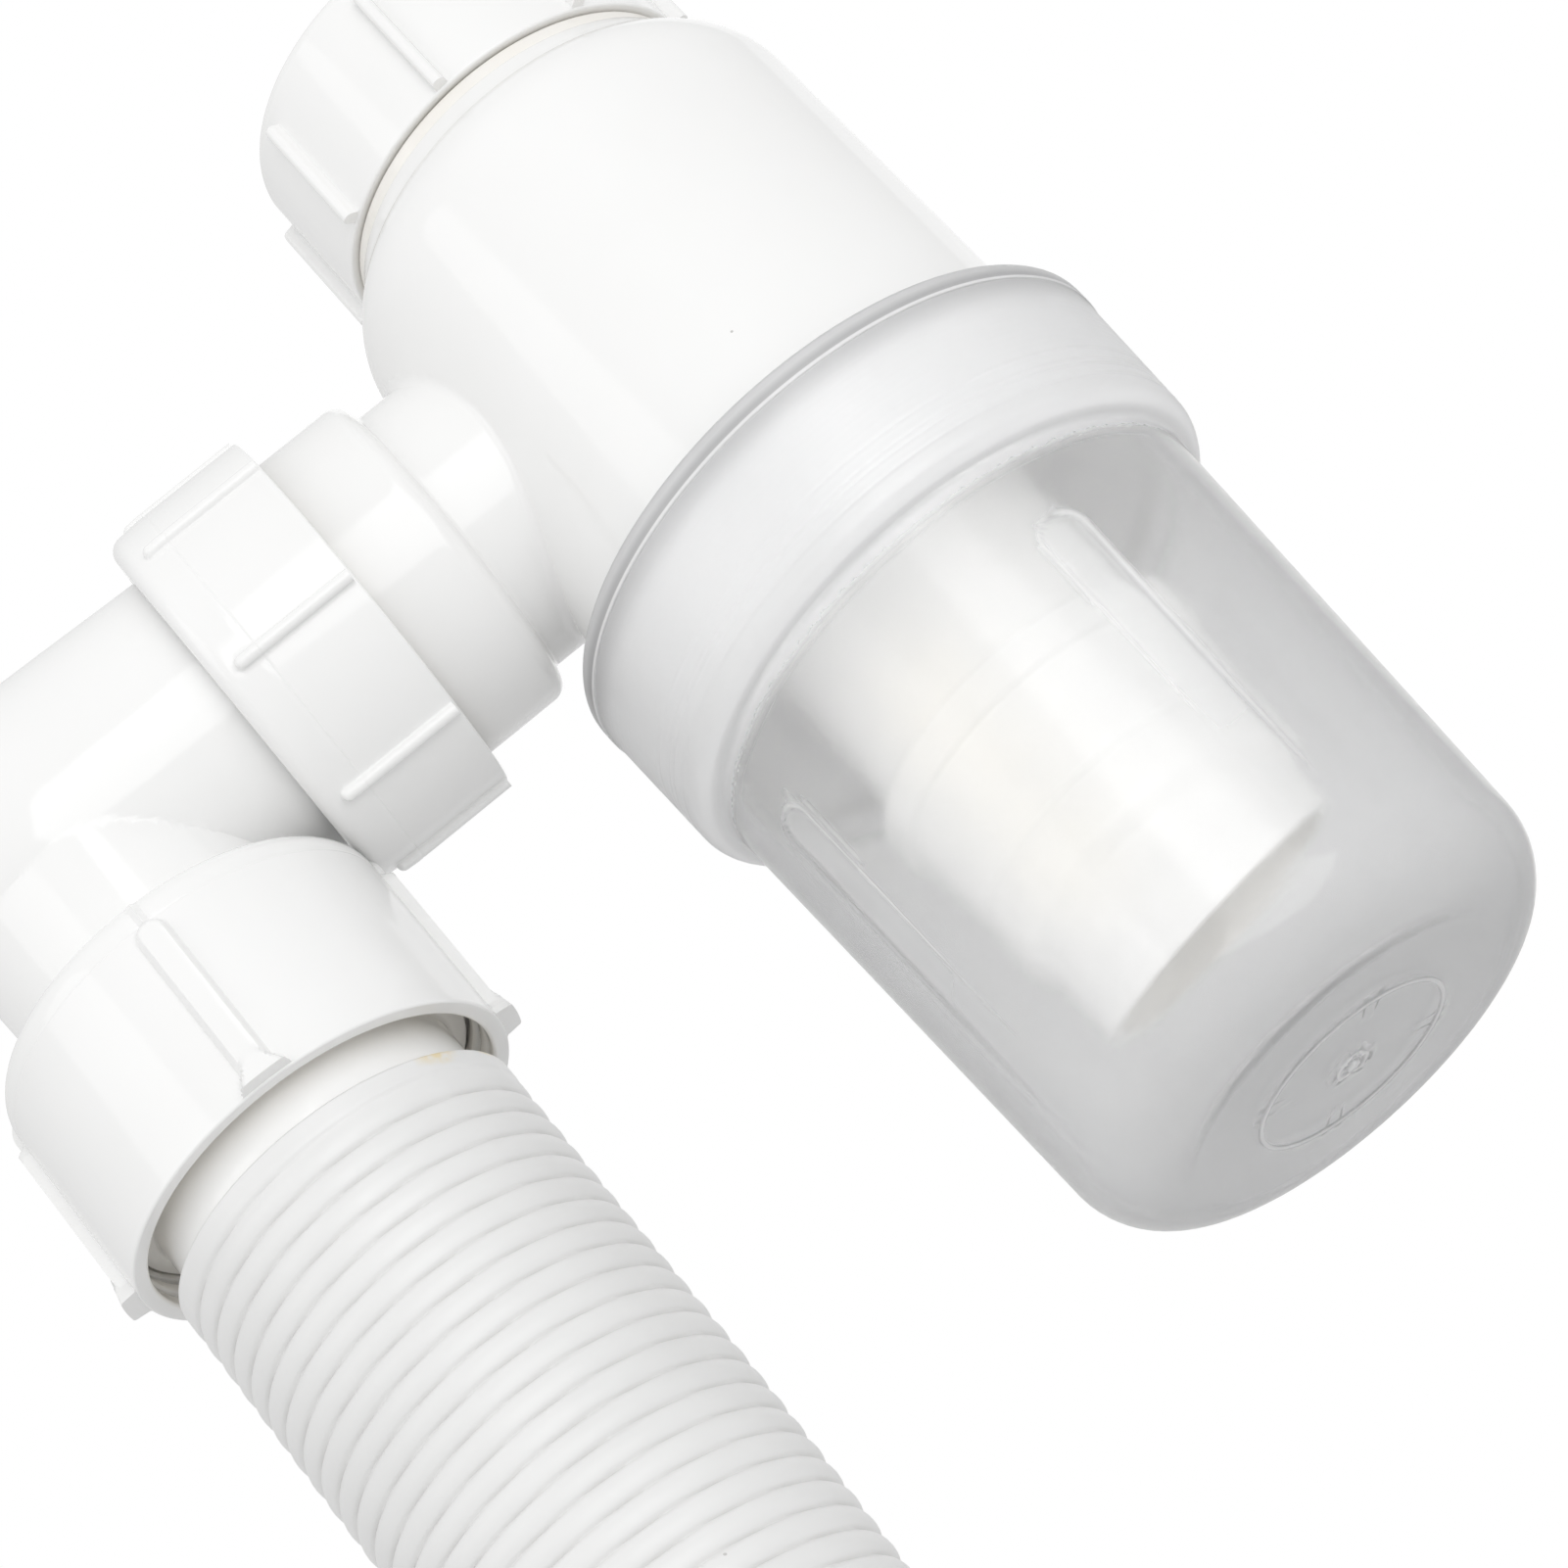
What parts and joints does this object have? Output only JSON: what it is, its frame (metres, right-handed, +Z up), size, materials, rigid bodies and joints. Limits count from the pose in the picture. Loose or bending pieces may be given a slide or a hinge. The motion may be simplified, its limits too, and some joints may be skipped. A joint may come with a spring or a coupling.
{
  "type": "bottle trap",
  "caption": "Bottle trap for a basin: upright body with a ribbed compression inlet, a frosted screw-off cup round a dip tube, a side outlet with a swivel elbow, and a ribbed waste hose.",
  "frame": {"origin": "middle of the inlet nut's top face, on the axis of the tailpiece that holds the trap", "axes": "+Z up along the body and the inlet, -X along the outlet towards the elbow and the hose"},
  "size_m": [0.1563, 0.074, 0.5555],
  "materials": {
    "gloss_white": "glossy white moulding",
    "soft_white": "satin white moulding",
    "frosted_clear": "frosted see-through moulding",
    "rubber": "matt, pale grey"
  },
  "bodies": {
    "body": {"trap_body": "gloss_white", "dip_tube": "soft_white", "dip_tube_end": "soft_white", "dip_tube_seal": "rubber", "inlet_cone_seal": "rubber"},
    "inlet_ring": {"inlet_slip_ring": "soft_white"},
    "inlet_nut": {"inlet_nut": "gloss_white"},
    "outlet_ring": {"outlet_slip_ring": "soft_white", "outlet_cone_seal": "rubber"},
    "outlet_nut": {"outlet_nut": "gloss_white"},
    "elbow": {"elbow": "gloss_white", "hose_slip_ring": "soft_white", "hose_cone_seal": "rubber"},
    "hose_nut": {"hose_nut": "gloss_white"},
    "hose": {"hose_adapter": "gloss_white", "hose": "soft_white", "hose_end_cuff": "soft_white"},
    "cup_seal": {"cup_seal": "rubber"},
    "cup": {"cup": "frosted_clear"}
  },
  "joints": [
    {"name": "inlet_nut_rise", "type": "slide", "parent": "body", "child": "inlet_ring", "axis": [0, 0, 1], "range_m": [0, 0.0105]},
    {"name": "inlet_nut_turn", "type": "hinge", "parent": "inlet_ring", "child": "inlet_nut", "pos_m": [0, 0, -0.0104], "axis": [0, 0, 1], "range_deg": [0, 1620]},
    {"name": "outlet_nut_draw", "type": "slide", "parent": "body", "child": "outlet_ring", "axis": [-1, 0, 0], "range_m": [0, 0.0092]},
    {"name": "outlet_nut_turn", "type": "hinge", "parent": "outlet_ring", "child": "outlet_nut", "pos_m": [-0.058, 0, -0.0546], "axis": [-1, 0, 0], "range_deg": [0, 1440]},
    {"name": "elbow_swivel", "type": "hinge", "parent": "outlet_ring", "child": "elbow", "pos_m": [-0.092, 0, -0.0546], "axis": [1, 0, 0], "range_deg": [-180, 180]},
    {"name": "hose_nut_turn", "type": "hinge", "parent": "elbow", "child": "hose_nut", "pos_m": [-0.092, 0, -0.0914], "axis": [0, 0, 1], "range_deg": [0, 2880]},
    {"name": "hose_draw", "type": "slide", "parent": "elbow", "child": "hose", "axis": [0, 0, -1], "range_m": [0, 0.0184]},
    {"name": "cup_drop", "type": "slide", "parent": "body", "child": "cup_seal", "axis": [0, 0, -1], "range_m": [0, 0.0171]},
    {"name": "cup_turn", "type": "hinge", "parent": "cup_seal", "child": "cup", "pos_m": [0, 0, -0.1282], "axis": [0, 0, -1], "range_deg": [0, 1530]}
  ],
  "couplings": [
    {"joint": "inlet_nut_rise", "follows": "inlet_nut_turn", "m_per_rad": 0.0003675},
    {"joint": "outlet_nut_turn", "follows": "outlet_nut_draw", "rad_per_m": 2721.1},
    {"joint": "hose_nut_turn", "follows": "hose_draw", "rad_per_m": 2721.1},
    {"joint": "cup_drop", "follows": "cup_turn", "m_per_rad": 0.00063662}
  ]
}
